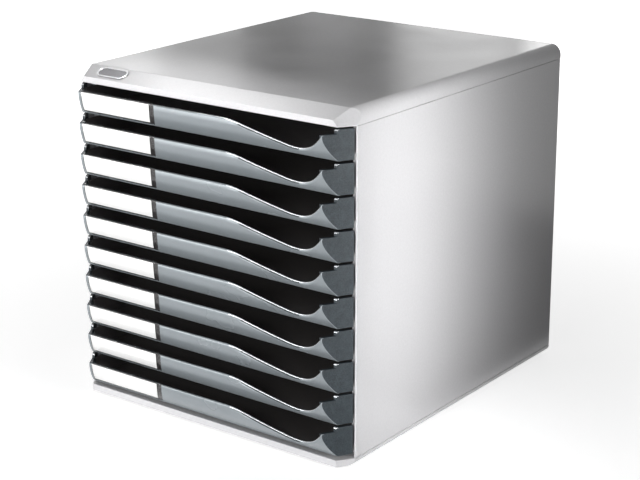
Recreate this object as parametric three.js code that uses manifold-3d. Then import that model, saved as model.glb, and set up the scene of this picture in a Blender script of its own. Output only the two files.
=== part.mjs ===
// Ten-drawer desktop cabinet for A4 papers, in millimetres, +Z up. The drawers open towards -Y.
// Heights are counted from the side panels' lower edge and depths from their front edge
// until the finished group is set down on z = 0 with its footprint centred.
import * as THREE from 'three';
import { mergeVertices } from 'three/addons/utils/BufferGeometryUtils.js';
import Module from 'manifold-3d';

const wasm = await Module();
wasm.setup();

// Housing: two side panels between a base plate and a top cover
const housingWidth = 285;
const panelDepth = 311;
const coverHeight = 12.5;
const baseHeight = 6;
const seamGap = 0.3;
const overrun = 1;

// Nose: the cover and the base reach forward of the panels and have cut corners
const noseReach = 13.2;
const noseCornerInset = 9.6;
const cornerLean = THREE.MathUtils.degToRad(38);
const lipHeight = 5.2;
const creaseSetback = 2.7;
const coverSideRadius = 9.5;
const baseSideRadius = 5.2;
const shellWall = 2.5;

// Cover ribs: they hold the top drawer down, as the ledges do for the drawers below
const coverRibWidth = 8;
const coverRibSetback = 12;

// Side panels and their moulded ledges
const panelWall = 2.8;
const frontFlangeSetback = 8;
const frontFlangeReach = 6.8;
const frontFlangeDepth = 3;
const rearFlangeReach = 4;
const rearFlangeDepth = 2;
const ledgeThickness = 2;
const ledgeOverlap = 6;
const ledgeRearGap = 2;

// Back panel
const backPanelThickness = 2.5;

// Underside of the base
const basePocketInset = 27;
const basePocketRoof = 2.5;
const baseRibWidth = 6;

// Feet
const footHeight = 2;
const footRadius = 8;
const footChamfer = 0.5;
const footInset = 17;

// Blank badge on the bevel
const badgeLength = 32;
const badgeWidth = 12.5;
const badgeThickness = 1.2;
const badgeRound = 0.4;
const badgeSeatDepth = 0.5;
const badgeFromLeft = 39;
const badgeAlongBevelShare = 0.53;

// Drawers: how they stack
const drawerCount = 10;
const drawerPitch = 26.9;
const topClearance = 1.5;
const bottomClearance = 3.1;
const closedGap = 0.4;
const slideGap = 0.3;

// Drawer front: a bar that leans forward between two slanted cheeks
const cheekHeight = 24.8;
const cheekRearInset = 2;
const cheekSpread = 14.8;
const cheekWall = 2.4;
const cheekStepReach = 12.6;
const cheekStepRadius = 1.3;
const barHeight = 21.2;
const barTipReach = 24;
const barFootReach = 12;
const barBulge = 2.1;
const barWall = 2.4;
const barFootChamfer = 0.6;
const barTopChamfer = 0.5;

// Finger scoop in the bar's top edge, right of the middle, and its raised rim
const scoopLength = 88.7;
const scoopStartRadius = 70;
const scoopLowInset = 23.2;
const scoopFloorHeight = 4.2;
const scoopFloorRadius = 21;
const rimRise = 1.5;
const rimGroove = 0.9;
const rimGrooveDepth = 0.25;
const rimChamfer = 0.7;
const rimRunIn = 14;
const rimRunOut = 6;

// Drawer tray behind the front
const runningSpace = 7.7;
const trayLift = 1.5;
const trayFloor = 2;
const trayWall = 2;
const trayWallHeight = 21;
const trayRearGap = 3;
const holdDownLength = 14;
const holdDownGap = 0.7;
const stopReach = 4.5;
const stopLength = 4;
const stopHeight = 6;
const stopLift = 4;
const drawerTravel = 240;

// Label card and its clear cover, at the left of the bar
const labelCardLength = 75.5;
const labelCardFoot = 3;
const labelCardTopGap = 0.4;
const labelCardThickness = 0.3;
const labelGap = 0.3;
const labelSeatDepth = 1.2;
const labelCoverThickness = 0.8;
const labelCoverEnd = 5;
const labelCoverFoot = 2.2;
const labelHookDrop = 4;
const labelHookSpread = 2;
const labelEndAngle = THREE.MathUtils.degToRad(38);

// Fineness of the round stretches
const arcSteps = 6;
const faceSteps = 5;
const roundSteps = 24;
const mergeTolerance = 1e-4;
const quarterShares = [0, 0.25, 0.5, 0.75];

// Places that follow from the sizes above
const halfWidth = housingWidth / 2;
const panelInside = halfWidth - panelWall;
const panelHeight = bottomClearance + (drawerCount - 1) * drawerPitch + cheekHeight + topClearance;
const coverBottom = panelHeight + seamGap;
const coverTop = coverBottom + coverHeight;
const baseTop = -seamGap;
const baseBottom = baseTop - baseHeight;
const bevelSlope = (coverHeight - lipHeight) / (noseReach + creaseSetback);
const backPanelRear = panelDepth - rearFlangeDepth - seamGap;
const backPanelFront = backPanelRear - backPanelThickness;
const trayRear = backPanelFront - trayRearGap;
const trayHalfWidth = panelInside - runningSpace;
const ledgeTip = trayHalfWidth - ledgeOverlap;
const ledgeTopHeight = trayLift - slideGap;
const ledgeBottomHeight = ledgeTopHeight - ledgeThickness;
const cheekRear = halfWidth - cheekRearInset;
const cheekTip = cheekRear - cheekSpread;
const cheekAngle = Math.atan(cheekSpread / (barTipReach - closedGap));
const scoopStart = cheekTip - scoopLength;
const scoopLow = cheekTip - scoopLowInset;
const labelLeftInset = cheekWall / Math.cos(cheekAngle) + labelGap;
const topDrawerHeight = panelHeight - topClearance - cheekHeight;

// Shapes and solids

function outline(points) {
  return new THREE.Shape(points.map(([a, b]) => new THREE.Vector2(a, b)));
}

function extrudeAlongZ(shape, from, to) {
  const settings = { depth: to - from, bevelEnabled: false, curveSegments: arcSteps };
  return new THREE.ExtrudeGeometry(shape, settings).translate(0, 0, from);
}

// The shape's two directions become Y and Z
function extrudeAlongX(shape, from, to) {
  const turn = new THREE.Matrix4().makeBasis(
    new THREE.Vector3(0, 1, 0), new THREE.Vector3(0, 0, 1), new THREE.Vector3(1, 0, 0));
  return extrudeAlongZ(shape, from, to).applyMatrix4(turn);
}

// The shape's two directions become X and Z
function extrudeAlongY(shape, from, to) {
  const turn = new THREE.Matrix4().makeBasis(
    new THREE.Vector3(1, 0, 0), new THREE.Vector3(0, 0, 1), new THREE.Vector3(0, -1, 0));
  return extrudeAlongZ(shape, -to, -from).applyMatrix4(turn);
}

function block([x0, x1], [y0, y1], [z0, z1]) {
  const geometry = new THREE.BoxGeometry(x1 - x0, y1 - y0, z1 - z0);
  return solid(geometry.translate((x0 + x1) / 2, (y0 + y1) / 2, (z0 + z1) / 2));
}

function solid(geometry) {
  const bare = geometry.clone();
  bare.deleteAttribute('normal');
  bare.deleteAttribute('uv');
  const merged = mergeVertices(bare, mergeTolerance);
  return new wasm.Manifold(new wasm.Mesh({
    numProp: 3,
    vertProperties: new Float32Array(merged.attributes.position.array),
    triVerts: new Uint32Array(merged.index.array),
  }));
}

function surface(body) {
  const mesh = body.getMesh();
  const geometry = new THREE.BufferGeometry();
  geometry.setAttribute('position', new THREE.BufferAttribute(new Float32Array(mesh.vertProperties), 3));
  geometry.setIndex(new THREE.BufferAttribute(new Uint32Array(mesh.triVerts), 1));
  geometry.computeVertexNormals();
  return geometry;
}

// A body through like sections, each a ring of points in the YZ plane at its own x, in rising x
function loftAlongX(sections) {
  const ring = sections[0].points.length;
  const positions = sections.flatMap(({ x, points }) => points.flatMap(([y, z]) => [x, y, z]));
  const index = [];
  for (let s = 0; s + 1 < sections.length; s += 1) {
    for (let i = 0; i < ring; i += 1) {
      const near = s * ring + i;
      const nearNext = s * ring + (i + 1) % ring;
      index.push(near, nearNext, nearNext + ring, near, nearNext + ring, near + ring);
    }
  }
  const endCap = (section) => THREE.ShapeUtils.triangulateShape(
    sections[section].points.map(([y, z]) => new THREE.Vector2(y, z)), []);
  const last = (sections.length - 1) * ring;
  for (const [a, b, c] of endCap(0)) index.push(a, c, b);
  for (const [a, b, c] of endCap(sections.length - 1)) index.push(last + a, last + b, last + c);
  const geometry = new THREE.BufferGeometry();
  geometry.setAttribute('position', new THREE.Float32BufferAttribute(positions, 3));
  geometry.setIndex(index);
  return geometry;
}

// Points of the arc that rounds a corner between two straight stretches
function roundedCorner(before, corner, after, radius) {
  const back = new THREE.Vector2().subVectors(before, corner).normalize();
  const ahead = new THREE.Vector2().subVectors(after, corner).normalize();
  const opening = Math.acos(back.dot(ahead));
  const trim = radius / Math.tan(opening / 2);
  const middle = new THREE.Vector2().addVectors(back, ahead).normalize();
  const centre = corner.clone().addScaledVector(middle, radius / Math.sin(opening / 2));
  const start = corner.clone().addScaledVector(back, trim).sub(centre);
  const end = corner.clone().addScaledVector(ahead, trim).sub(centre);
  const sweep = Math.atan2(start.cross(end), start.dot(end));
  return Array.from({ length: arcSteps + 1 }, (_, i) =>
    start.clone().rotateAround(new THREE.Vector2(), sweep * i / arcSteps).add(centre));
}

// Housing

// Plan of the cover and the base, drawn inwards by an inset
function noseOutline(inset) {
  const side = halfWidth - inset;
  const front = noseReach - inset;
  const slant = noseCornerInset / noseReach;
  const slantInset = inset * Math.hypot(1, slant);
  const cornerFront = halfWidth - slant * front - slantInset;
  const cornerRear = (slantInset - inset) / slant;
  const rear = panelDepth - inset;
  return outline([
    [-cornerFront, -front], [cornerFront, -front], [side, cornerRear], [side, rear],
    [-side, rear], [-side, cornerRear],
  ]);
}

// Cross-section with its two upper corners rounded, drawn inwards by an inset
function roundedCrossSection(inset, bottom, top, radius) {
  const side = halfWidth - inset;
  const shape = new THREE.Shape();
  shape.moveTo(-side, bottom);
  shape.lineTo(side, bottom);
  shape.lineTo(side, top - radius);
  shape.absarc(side - radius, top - radius, radius, 0, Math.PI / 2, false);
  shape.lineTo(radius - side, top);
  shape.absarc(radius - side, top - radius, radius, Math.PI / 2, Math.PI, false);
  return shape;
}

// Lengthwise section of the cover: upright lip, bevel, flat top
function coverLengthwise(inset, bottom) {
  const front = noseReach - inset;
  const top = coverTop - inset;
  const bevelInset = inset * Math.hypot(1, bevelSlope);
  const lipTop = coverBottom + lipHeight + inset * bevelSlope - bevelInset;
  const crease = creaseSetback + (bevelInset - inset) / bevelSlope;
  const rear = panelDepth - inset;
  return outline([[-front, bottom], [rear, bottom], [rear, top], [crease, top], [-front, lipTop]]);
}

// What the leaning upper part of a cut corner takes away, drawn inwards by an inset
function cornerCut(hand, inset) {
  const reach = 2 * noseReach;
  const cut = new THREE.BoxGeometry(2 * reach, reach, reach).translate(0, reach / 2 - inset, reach / 2);
  return solid(cut.rotateX(cornerLean).rotateZ(Math.atan2(-hand * noseReach, -noseCornerInset))
    .translate(hand * halfWidth, 0, coverBottom + lipHeight));
}

function coverShell(inset, bottom) {
  const radius = coverSideRadius - inset;
  const across = roundedCrossSection(inset, bottom, coverTop - inset, radius);
  return solid(extrudeAlongZ(noseOutline(inset), bottom, coverTop))
    .intersect(solid(extrudeAlongY(across, -noseReach - overrun, panelDepth + overrun)))
    .intersect(solid(extrudeAlongX(coverLengthwise(inset, bottom), -halfWidth, halfWidth)))
    .subtract(cornerCut(-1, inset))
    .subtract(cornerCut(1, inset));
}

function topCover() {
  const shell = coverShell(0, coverBottom).subtract(coverShell(shellWall, coverBottom - overrun));
  const ribSpan = [coverRibSetback, panelDepth - coverRibSetback];
  const ribTop = coverTop - shellWall / 2;
  const ribs = [-1, 1].map((hand) => {
    const edges = [hand * ledgeTip, hand * (ledgeTip + coverRibWidth)].sort((a, b) => a - b);
    return block(edges, ribSpan, [coverBottom, ribTop]);
  });
  return surface(ribs.reduce((body, rib) => body.add(rib), shell).subtract(badgeSeat()));
}

// The cross-section is drawn upside down and turned over, so that the lower corners are the round ones
function basePlate() {
  const across = roundedCrossSection(0, -baseTop, -baseBottom, baseSideRadius);
  const turned = solid(extrudeAlongY(across, -noseReach - overrun, panelDepth + overrun).rotateY(Math.PI));
  const plate = solid(extrudeAlongZ(noseOutline(0), baseBottom, baseTop)).intersect(turned);
  const pocketSide = halfWidth - basePocketInset;
  const pocketFront = basePocketInset - noseReach;
  const pocketRear = panelDepth - basePocketInset;
  const middle = (pocketFront + pocketRear) / 2;
  const halfRib = baseRibWidth / 2;
  const heights = [baseBottom - overrun, baseTop - basePocketRoof];
  const pockets = [[-pocketSide, -halfRib], [halfRib, pocketSide]].flatMap((span) => [
    block(span, [pocketFront, middle - halfRib], heights),
    block(span, [middle + halfRib, pocketRear], heights),
  ]);
  return surface(pockets.reduce((body, pocket) => body.subtract(pocket), plate));
}

// Right-hand panel; the left one is its mirror image
function sidePanel(hand) {
  const spread = (x0, x1) => [hand * x0, hand * x1].sort((a, b) => a - b);
  const heights = [0, panelHeight];
  const inner = panelInside + panelWall / 2;
  const parts = [
    block(spread(panelInside, halfWidth), [0, panelDepth], heights),
    block(
      spread(panelInside - frontFlangeReach, inner),
      [frontFlangeSetback, frontFlangeSetback + frontFlangeDepth], heights),
    block(
      spread(panelInside - rearFlangeReach, inner), [panelDepth - rearFlangeDepth, panelDepth], heights),
  ];
  for (let i = 0; i < drawerCount; i += 1) {
    const drawerHeight = topDrawerHeight - i * drawerPitch;
    parts.push(block(
      spread(ledgeTip, inner),
      [frontFlangeSetback + frontFlangeDepth / 2, backPanelFront - ledgeRearGap],
      [drawerHeight + ledgeBottomHeight, drawerHeight + ledgeTopHeight]));
  }
  return surface(parts.reduce((body, piece) => body.add(piece)));
}

function backPanel() {
  const side = panelInside - seamGap;
  return surface(block([-side, side], [backPanelFront, backPanelRear], [0, panelHeight]));
}

// Badge, drawn flat and then laid on the bevel

function layOnBevel(geometry) {
  const along = THREE.MathUtils.lerp(-noseReach, creaseSetback, badgeAlongBevelShare);
  const height = coverBottom + lipHeight + bevelSlope * (along + noseReach);
  return geometry.rotateX(Math.atan(bevelSlope)).translate(badgeFromLeft - halfWidth, along, height);
}

// Oval with straight long sides
function badgeOval(margin) {
  const radius = badgeWidth / 2 + margin;
  const middle = (badgeLength - badgeWidth) / 2;
  const shape = new THREE.Shape();
  shape.moveTo(-middle, -radius);
  shape.lineTo(middle, -radius);
  shape.absarc(middle, 0, radius, -Math.PI / 2, Math.PI / 2, false);
  shape.lineTo(-middle, radius);
  shape.absarc(-middle, 0, radius, Math.PI / 2, 3 * Math.PI / 2, false);
  return shape;
}

function badgeSeat() {
  const seat = new THREE.ExtrudeGeometry(badgeOval(seamGap), {
    depth: badgeSeatDepth + overrun, bevelEnabled: false, curveSegments: roundSteps / 2,
  });
  return solid(layOnBevel(seat.translate(0, 0, -badgeSeatDepth)));
}

function badgePlate() {
  const plate = new THREE.ExtrudeGeometry(badgeOval(-badgeRound), {
    depth: badgeThickness - 2 * badgeRound, bevelThickness: badgeRound, bevelSize: badgeRound,
    bevelSegments: 2, curveSegments: roundSteps / 2,
  });
  const lowest = badgeRound + seamGap - badgeSeatDepth;
  return surface(solid(layOnBevel(plate.translate(0, 0, lowest))));
}

function foot() {
  const height = footHeight - seamGap;
  const profile = [
    [0, 0], [footRadius - footChamfer, 0], [footRadius, footChamfer], [footRadius, height], [0, height],
  ];
  const turned = new THREE.LatheGeometry(profile.map(([r, z]) => new THREE.Vector2(r, z)), roundSteps);
  return surface(solid(turned.rotateX(Math.PI / 2)));
}

// Drawers, with their own zero height at the bar's lower edge

// Depth of the bar's front face at a height
function barFace(height) {
  const share = height / barHeight;
  return -THREE.MathUtils.lerp(barFootReach, barTipReach, share) - barBulge * 4 * share * (1 - share);
}

// The front face's line from one height down to another, set back by a depth
function facePoints(top, foot, setback) {
  return Array.from({ length: faceSteps + 1 }, (_, i) => {
    const height = THREE.MathUtils.lerp(top, foot, i / faceSteps);
    return [barFace(height) + setback, height];
  });
}

// Top edge of the bar from left to right, with the scoop
function barTopEdge() {
  const leftEnd = new THREE.Vector2(-cheekRear, barHeight);
  const start = new THREE.Vector2(scoopStart, barHeight);
  const low = new THREE.Vector2(scoopLow, scoopFloorHeight);
  const tip = new THREE.Vector2(cheekTip, barHeight);
  return [
    leftEnd,
    ...roundedCorner(leftEnd, start, low, scoopStartRadius),
    ...roundedCorner(start, low, tip, scoopFloorRadius),
    tip,
    new THREE.Vector2(cheekRear, barHeight),
  ];
}

// One ring of the bar: plain where the rim share is 0, with the raised rim behind a groove where it is 1
function barSection(x, top) {
  const rimShare = THREE.MathUtils.smoothstep(x, scoopStart - rimRunIn / 2, scoopStart + rimRunIn / 2)
    * THREE.MathUtils.smoothstep(cheekTip - x, 0, rimRunOut);
  const face = barFace(top);
  const rimFoot = top - rimRise;
  const plain = quarterShares.map((share) => [
    THREE.MathUtils.lerp(face + barTopChamfer, barFace(top - barTopChamfer), share),
    top - barTopChamfer * share,
  ]);
  const rimmed = [
    [face + rimGroove + rimChamfer, top],
    [face + rimGroove, top - rimChamfer],
    [face + rimGroove, rimFoot - rimGrooveDepth],
    [barFace(rimFoot) + barTopChamfer, rimFoot],
  ];
  const edge = plain.map((point, i) => point.map((value, axis) =>
    THREE.MathUtils.lerp(value, rimmed[i][axis], rimShare)));
  return {
    x,
    points: [
      [barFootChamfer - barFootReach, 0],
      [barWall - barFootReach, 0],
      [barFace(top / 2) + barWall, top / 2],
      [face + barWall, top - barTopChamfer],
      [face + barWall - barTopChamfer, top],
      ...edge,
      ...facePoints(top - rimShare * rimRise - barTopChamfer, barFootChamfer, 0),
    ],
  };
}

// Outer edge of the right-hand slanted end at a depth; the left-hand one mirrors it
function slantedEnd(depth) {
  return cheekTip + Math.tan(cheekAngle) * (depth + barTipReach);
}

// Plan of the drawer front: the bar between its slanted ends
function frontOutline() {
  const front = -barTipReach - overrun;
  const rear = -closedGap;
  return outline([
    [-slantedEnd(front), front], [slantedEnd(front), front],
    [slantedEnd(rear), rear], [-slantedEnd(rear), rear],
  ]);
}

function cheek(hand) {
  const inwards = cheekWall / Math.cos(cheekAngle);
  const plan = [
    [slantedEnd(-barTipReach) - inwards, -barTipReach], [slantedEnd(-barTipReach) + overrun, -barTipReach],
    [slantedEnd(-closedGap) + overrun, -closedGap], [slantedEnd(-closedGap) - inwards, -closedGap],
  ].map(([x, y]) => [hand * x, y]);
  const rear = new THREE.Vector2(-closedGap, cheekHeight);
  const step = new THREE.Vector2(-cheekStepReach, cheekHeight);
  const ledge = new THREE.Vector2(-cheekStepReach, barHeight);
  const profile = [
    [-closedGap, 0],
    [-closedGap, cheekHeight],
    ...roundedCorner(rear, step, ledge, cheekStepRadius).map(({ x, y }) => [x, y]),
    [-cheekStepReach, barHeight],
    ...facePoints(barHeight, 0, barWall / 2),
  ];
  return solid(extrudeAlongZ(outline(plan), 0, cheekHeight))
    .intersect(solid(extrudeAlongX(outline(profile), -halfWidth, halfWidth)));
}

// The label's place, seen from above: its left end follows the cheek and its right end has its own slant
function labelPlan(leftInset, length) {
  const left = -cheekTip + leftInset;
  const edges = (depth) => [
    left - Math.tan(cheekAngle) * (depth + barTipReach),
    left + length - Math.tan(labelEndAngle) * (depth + barTipReach),
  ];
  const front = -barTipReach - overrun;
  const rear = -overrun;
  const [frontLeft, frontRight] = edges(front);
  const [rearLeft, rearRight] = edges(rear);
  const plan = outline([[frontLeft, front], [frontRight, front], [rearRight, rear], [rearLeft, rear]]);
  return solid(extrudeAlongZ(plan, 0, barHeight + barWall + overrun));
}

function alongLabel(profile, leftInset, length) {
  return solid(extrudeAlongX(outline(profile), -halfWidth, halfWidth)).intersect(labelPlan(leftInset, length));
}

function labelSeat() {
  const foot = labelCoverFoot - labelGap;
  const top = barHeight + overrun;
  const profile = [
    ...facePoints(top, foot, labelSeatDepth),
    ...facePoints(top, foot, -overrun).reverse(),
  ];
  return alongLabel(profile, labelLeftInset - labelGap, labelCardLength + labelCoverEnd + 2 * labelGap);
}

function drawerTray() {
  const sections = barTopEdge().map(({ x, y }) => barSection(x, y));
  const front = solid(loftAlongX(sections)).add(cheek(-1)).add(cheek(1))
    .intersect(solid(extrudeAlongZ(frontOutline(), -overrun, cheekHeight + overrun)))
    .subtract(labelSeat());
  const inside = trayHalfWidth - trayWall;
  const floorFront = barFace(trayLift + trayFloor / 2) + barWall / 2;
  const holdDownHeight = drawerPitch + ledgeBottomHeight - holdDownGap;
  const stopFront = frontFlangeSetback + frontFlangeDepth + slideGap + drawerTravel;
  const parts = [
    block([-trayHalfWidth, trayHalfWidth], [floorFront, trayRear], [trayLift, trayLift + trayFloor]),
    block([-trayHalfWidth, trayHalfWidth], [trayRear - trayWall, trayRear], [trayLift, trayWallHeight]),
  ];
  for (const hand of [-1, 1]) {
    const spread = (x0, x1) => [hand * x0, hand * x1].sort((a, b) => a - b);
    parts.push(
      block(spread(inside, trayHalfWidth), [floorFront, trayRear], [trayLift, trayWallHeight]),
      block(spread(inside, trayHalfWidth), [trayRear - holdDownLength, trayRear], [trayLift, holdDownHeight]),
      block(
        spread(inside, trayHalfWidth + stopReach),
        [stopFront, stopFront + stopLength],
        [stopLift, stopLift + stopHeight]));
  }
  return surface(parts.reduce((body, piece) => body.add(piece), front));
}

function labelCard() {
  const inner = labelSeatDepth - labelGap;
  const profile = [
    ...facePoints(barHeight - labelCardTopGap, labelCardFoot, inner),
    ...facePoints(barHeight - labelCardTopGap, labelCardFoot, inner - labelCardThickness).reverse(),
  ];
  return surface(alongLabel(profile, labelLeftInset, labelCardLength));
}

// Clear strip: a hook over the bar's top edge, a curved window and a toe that meets the bar
function labelCover() {
  const inner = labelSeatDepth - labelCardThickness - 2 * labelGap;
  const outer = inner - labelCoverThickness;
  const hookInside = barFace(barHeight) + barWall + labelGap;
  const hookOutside = hookInside + labelCoverThickness;
  const hookFoot = barHeight - labelHookDrop;
  const roof = barHeight + labelGap;
  const roofTop = roof + labelCoverThickness;
  const toeTop = labelCoverFoot + labelCoverThickness / 2;
  const profile = [
    [hookOutside + labelHookSpread, hookFoot],
    [hookOutside, roofTop],
    [barFace(barHeight) + outer, roofTop],
    ...facePoints(barHeight, labelCoverFoot, outer),
    [barFace(labelCoverFoot) + labelSeatDepth - labelGap, labelCoverFoot],
    [barFace(toeTop) + labelSeatDepth - labelGap, toeTop],
    ...facePoints(roof, toeTop, inner).reverse(),
    [hookInside, roof],
    [hookInside + labelHookSpread, hookFoot],
  ];
  return surface(alongLabel(profile, labelLeftInset, labelCardLength + labelCoverEnd));
}

// Colours

function plastic(color, roughness) {
  return new THREE.MeshStandardMaterial({ color, roughness, metalness: 0 });
}

const lightGrey = plastic(0xd9d8db, 0.35);
const slate = plastic(0x4b565e, 0.3);
const blackRubber = plastic(0x1b1b1c, 0.85);
const whiteCard = plastic(0xfbfbf8, 0.7);
const clear = new THREE.MeshStandardMaterial({
  color: 0xf4f7f8, roughness: 0.08, metalness: 0, transparent: true, opacity: 0.35,
});
const polished = new THREE.MeshStandardMaterial({ color: 0xb9babd, roughness: 0.2, metalness: 0.9 });

function piece(name, geometry, material, place = [0, 0, 0]) {
  const mesh = new THREE.Mesh(geometry, material);
  mesh.name = name;
  mesh.position.set(...place);
  return mesh;
}

// Assembly

function housing() {
  const group = new THREE.Group();
  group.add(
    piece('top_cover', topCover(), lightGrey),
    piece('base_plate', basePlate(), lightGrey),
    piece('side_panel_left', sidePanel(-1), lightGrey),
    piece('side_panel_right', sidePanel(1), lightGrey),
    piece('back_panel', backPanel(), lightGrey),
    piece('badge_plate', badgePlate(), polished));
  const footShape = foot();
  const footBottom = baseBottom - footHeight;
  for (const [row, depth] of [['front', footInset - noseReach], ['rear', panelDepth - footInset]]) {
    for (const [side, hand] of [['left', -1], ['right', 1]]) {
      const place = [hand * (halfWidth - footInset), depth, footBottom];
      group.add(piece(`foot_${row}_${side}`, footShape, blackRubber, place));
    }
  }
  return group;
}

function drawers() {
  const group = new THREE.Group();
  const shapes = { tray: drawerTray(), card: labelCard(), cover: labelCover() };
  for (let i = 0; i < drawerCount; i += 1) {
    const number = String(i + 1).padStart(2, '0');
    const drawer = new THREE.Group();
    drawer.position.z = topDrawerHeight - i * drawerPitch;
    drawer.add(
      piece(`drawer_tray_${number}`, shapes.tray, slate),
      piece(`label_card_${number}`, shapes.card, whiteCard),
      piece(`label_cover_${number}`, shapes.cover, clear));
    group.add(drawer);
  }
  return group;
}

const cabinet = new THREE.Group();
cabinet.add(housing(), drawers());
const reach = new THREE.Box3().setFromObject(cabinet);
cabinet.position.set(0, -(reach.min.y + reach.max.y) / 2, -reach.min.z);

export default cabinet;
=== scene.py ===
import math

import bmesh
import bpy
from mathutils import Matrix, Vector


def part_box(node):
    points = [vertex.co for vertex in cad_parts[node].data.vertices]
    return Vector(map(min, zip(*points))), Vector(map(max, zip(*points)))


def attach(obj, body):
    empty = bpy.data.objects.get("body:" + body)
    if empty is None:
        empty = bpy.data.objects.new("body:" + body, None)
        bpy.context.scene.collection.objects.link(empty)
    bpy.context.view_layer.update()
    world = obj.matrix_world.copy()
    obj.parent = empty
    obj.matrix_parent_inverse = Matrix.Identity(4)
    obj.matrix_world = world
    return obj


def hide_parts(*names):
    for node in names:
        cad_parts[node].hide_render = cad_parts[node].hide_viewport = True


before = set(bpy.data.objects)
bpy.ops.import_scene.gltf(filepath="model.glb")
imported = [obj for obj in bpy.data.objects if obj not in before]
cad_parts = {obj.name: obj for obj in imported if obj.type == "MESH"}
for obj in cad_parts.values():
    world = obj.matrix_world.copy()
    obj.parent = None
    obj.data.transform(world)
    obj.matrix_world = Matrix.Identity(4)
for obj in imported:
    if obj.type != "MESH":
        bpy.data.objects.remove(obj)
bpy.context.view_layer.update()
print("frame loaded:", len(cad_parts), "solids")

mm = 0.001
weld = mm / 1000             # points closer than this are merged
facing, leaning = 0.9, 0.2   # least share of a face's normal along the way that it is picked by
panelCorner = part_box("side_panel_left")[0]
frontY, seamZ = panelCorner.y, panelCorner.z   # the side panels' front edges and lower edges
drawerNumbers = [f"{n:02d}" for n in range(1, 11)]
drawerHeights = [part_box(f"drawer_tray_{n}")[0].z for n in drawerNumbers]

# Housing sizes that several pieces share, in millimetres
housing = {
    "halfWidth": 142.5, "depth": 311.0, "panelHeight": 271.5, "seam": 0.3,
    "noseReach": 13.2, "noseCorner": 9.6, "wall": 2.8,
}


# Everything is drawn in millimetres from the side panels' lower front edge
def place(x, y, z):
    return Vector((x * mm, frontY + y * mm, seamZ + z * mm))


# Making and shaping

def objectMode():
    if bpy.context.object and bpy.context.object.mode != "OBJECT":
        bpy.ops.object.mode_set(mode="OBJECT")


def deselectAll():
    objectMode()
    bpy.ops.object.select_all(action="DESELECT")


def selectOnly(*pieces):
    deselectAll()
    for piece in pieces:
        piece.select_set(True)
    bpy.context.view_layer.objects.active = pieces[0]


def freeze(piece):
    selectOnly(piece)
    bpy.ops.object.transform_apply(location=True, rotation=True, scale=True)


def edit(piece):
    if bpy.context.object != piece or piece.mode != "EDIT":
        selectOnly(piece)
        bpy.ops.object.mode_set(mode="EDIT")


# The shape that was added last, under its own name
def justAdded(name):
    piece = bpy.context.object
    piece.name = name
    return piece


def addBlock(name, low, high):
    deselectAll()
    low, high = place(*low), place(*high)
    bpy.ops.mesh.primitive_cube_add(size=1, location=(low + high) / 2)
    piece = justAdded(name)
    piece.scale = high - low
    freeze(piece)
    return piece


def extrudeBy(x, y, z):
    bpy.ops.mesh.extrude_region_move(TRANSFORM_OT_translate={"value": (x * mm, y * mm, z * mm)})


def turnOutwards():
    bpy.ops.mesh.select_all(action="SELECT")
    bpy.ops.mesh.normals_make_consistent(inside=False)
    objectMode()


# A point is extruded along an outline and back to its start, and the filled loop is pulled out sideways
def addProfile(name, points, width):
    deselectAll()
    bpy.ops.mesh.primitive_plane_add(size=mm, location=points[0])
    piece = justAdded(name)
    freeze(piece)
    edit(piece)
    bpy.ops.mesh.select_mode(type="VERT")
    bpy.ops.mesh.select_all(action="SELECT")
    bpy.ops.mesh.merge(type="CENTER")
    for here, there in zip(points, points[1:] + points[:1]):
        bpy.ops.mesh.extrude_region_move(TRANSFORM_OT_translate={"value": there - here})
    bpy.ops.mesh.select_all(action="SELECT")
    bpy.ops.mesh.remove_doubles(threshold=weld)
    bpy.ops.mesh.edge_face_add()
    bpy.ops.mesh.select_all(action="SELECT")
    extrudeBy(width, 0, 0)
    turnOutwards()
    return piece


# A grid is wrapped round an outline that changes from station to station, and closed at both ends; each band
# is a range of outline segments and of stations with its number among the piece's materials
def addLoft(name, rings, bands):
    deselectAll()
    around, along = len(rings[0]), len(rings) - 1
    bpy.ops.mesh.primitive_grid_add(x_subdivisions=around, y_subdivisions=along, size=2)   # from -1 to 1
    piece = justAdded(name)
    for face in piece.data.polygons:
        i = int((face.center.x + 1) / 2 * around)
        j = int((face.center.y + 1) / 2 * along)
        for segments, stations, slot in bands:
            if i in segments and j in stations:
                face.material_index = slot
    for vertex in piece.data.vertices:
        i = round((vertex.co.x + 1) / 2 * around) % around
        j = round((vertex.co.y + 1) / 2 * along)
        vertex.co = rings[j][i]
    edit(piece)
    bpy.ops.mesh.select_all(action="SELECT")
    bpy.ops.mesh.remove_doubles(threshold=weld)
    bpy.ops.mesh.fill_holes(sides=0)
    turnOutwards()
    return piece


# Selects in edit mode what a rule says yes to
def pick(piece, kind, rule):
    edit(piece)
    bpy.ops.mesh.select_mode(type=kind)
    bpy.ops.mesh.select_all(action="DESELECT")
    shape = bmesh.from_edit_mesh(piece.data)
    for element in {"VERT": shape.verts, "EDGE": shape.edges, "FACE": shape.faces}[kind]:
        element.select_set(rule(element))
    bmesh.update_edit_mesh(piece.data)


def pickFaces(piece, rule):
    pick(piece, "FACE", lambda face: rule(face.calc_center_median(), face.normal))


def pickEdges(piece, rule):
    pick(piece, "EDGE", lambda edge: rule(edge.verts[0].co, edge.verts[1].co))


def bevelPicked(width, segments):
    bpy.ops.mesh.bevel(offset_type="OFFSET", offset=width * mm, segments=segments, profile=0.5, affect="EDGES")


# Cuts all the way through and keeps both halves, or takes away the half that the normal points to
def cutThrough(piece, point, normal, trim=False):
    edit(piece)
    bpy.ops.mesh.select_all(action="SELECT")
    bpy.ops.mesh.bisect(plane_co=point, plane_no=Vector(normal).normalized(), clear_outer=trim, use_fill=trim)


# Takes out the edges that cuts have left inside flat faces
def dissolveFlat(piece):
    edit(piece)
    bpy.ops.mesh.select_all(action="SELECT")
    bpy.ops.mesh.dissolve_limited(angle_limit=math.radians(0.4))


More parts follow.
